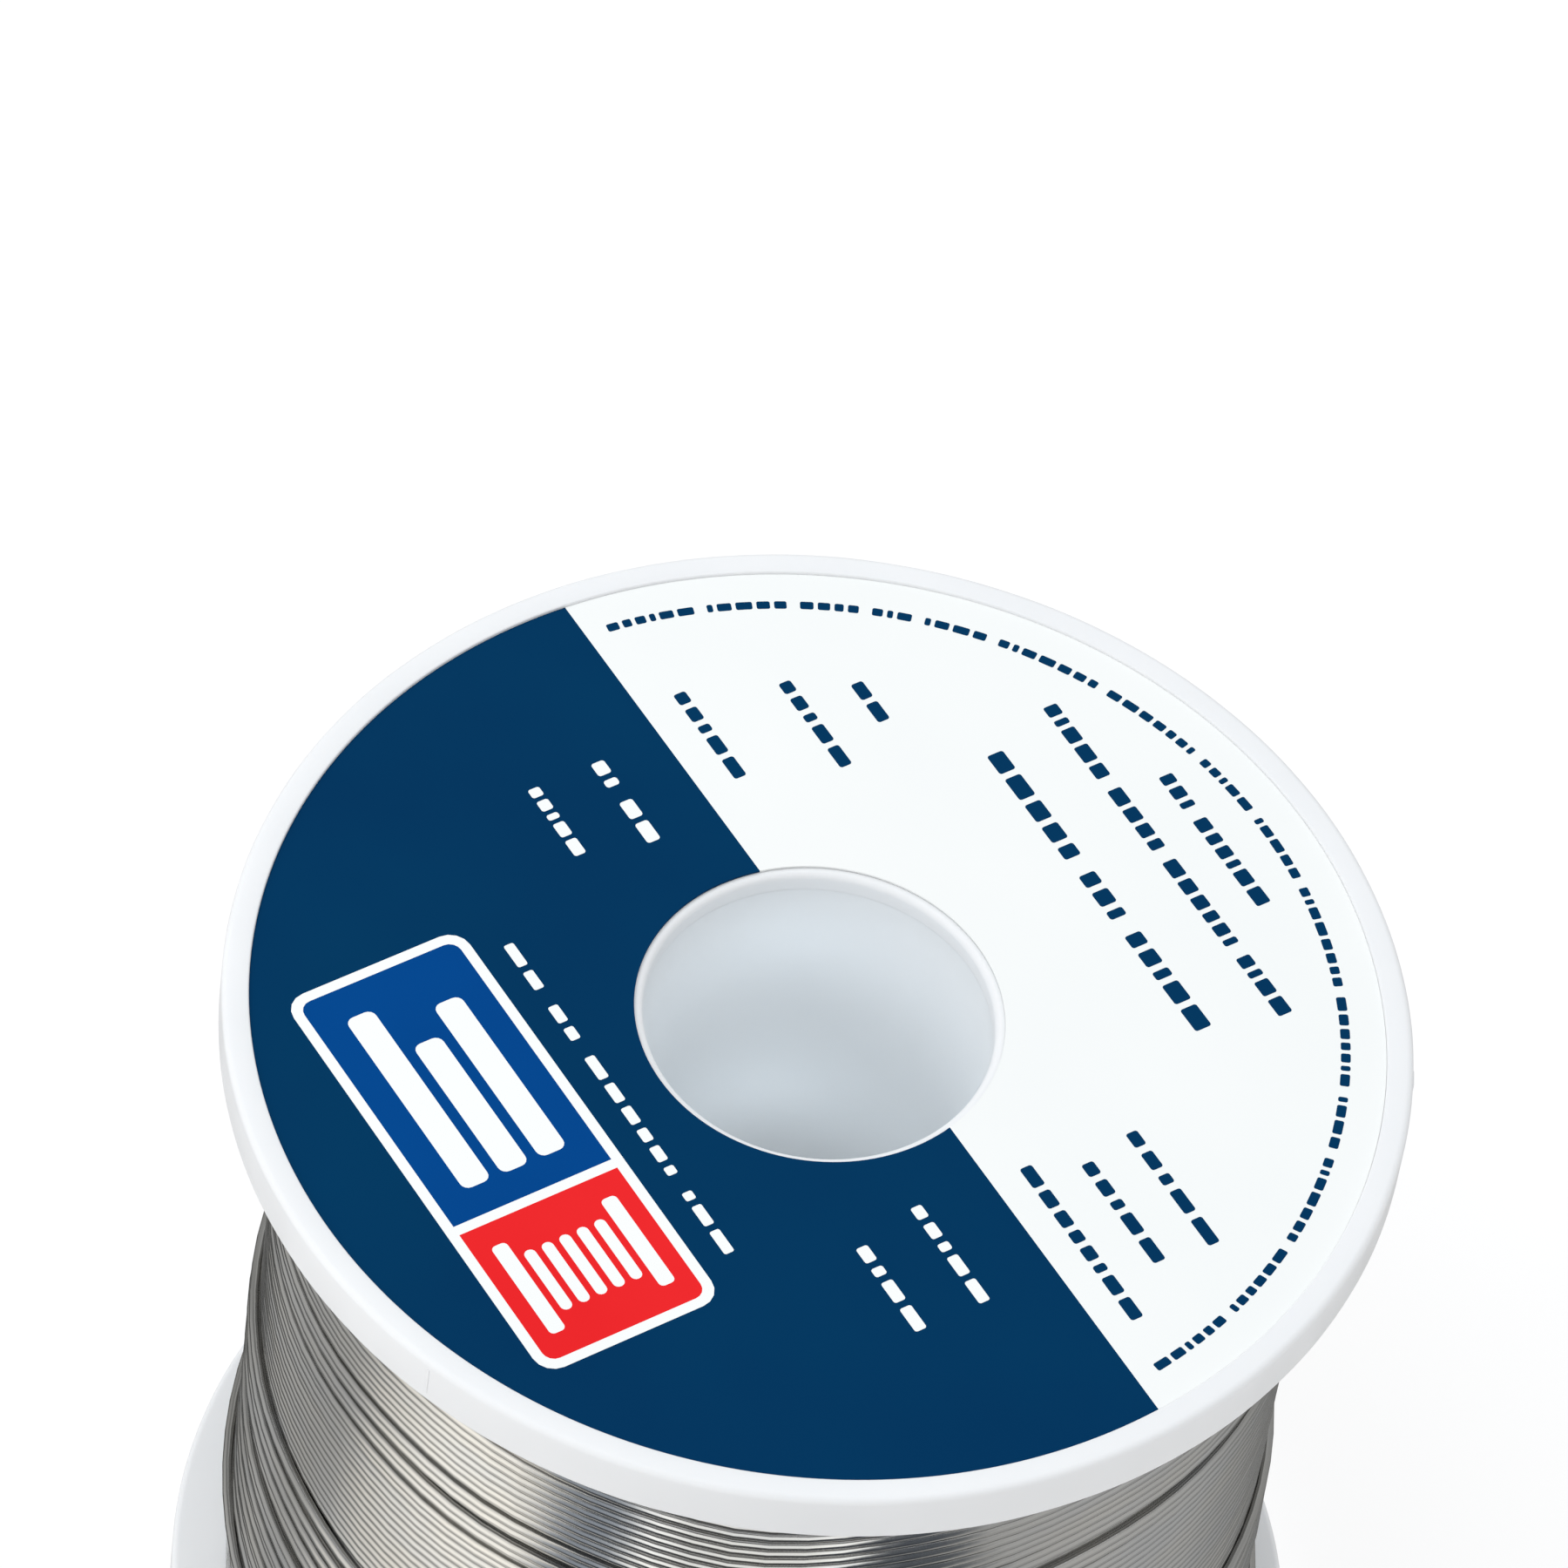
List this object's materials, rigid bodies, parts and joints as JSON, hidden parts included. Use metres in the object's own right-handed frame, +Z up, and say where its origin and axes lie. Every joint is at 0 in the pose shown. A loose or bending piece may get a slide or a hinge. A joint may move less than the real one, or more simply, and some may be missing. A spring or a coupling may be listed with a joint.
{
  "type": "solder wire spool",
  "caption": "Flanged plastic reel with a wide hollow hub and a round spindle bore, wound full with thin solder wire between its flanges, with a label in each end face.",
  "frame": {"origin": "centre of the lower rim's face, which the spool stands on", "axes": "+Z up along the spool's axis, -Y towards the front, +X to the right"},
  "size_m": [0.069, 0.069, 0.061],
  "materials": {
    "reel_plastic": "satin white moulded styrene",
    "hub_plastic": "smooth off-white moulded styrene",
    "label_navy": "semi-gloss printed label, navy ink",
    "label_white": "semi-gloss label, white ground",
    "label_blue": "semi-gloss printed label, blue ink",
    "label_red": "semi-gloss printed label, red ink",
    "solder_wire": "bright drawn tin-lead solder wire"
  },
  "bodies": {
    "root": {"top_flange": "reel_plastic", "bottom_flange": "reel_plastic", "core": "hub_plastic", "barrel": "hub_plastic", "top_label": "label_navy", "bottom_label": "label_white", "inner_layers": "solder_wire", "outer_layer": "solder_wire", "wire_start": "solder_wire", "wire_tail": "solder_wire"}
  },
  "joints": []
}
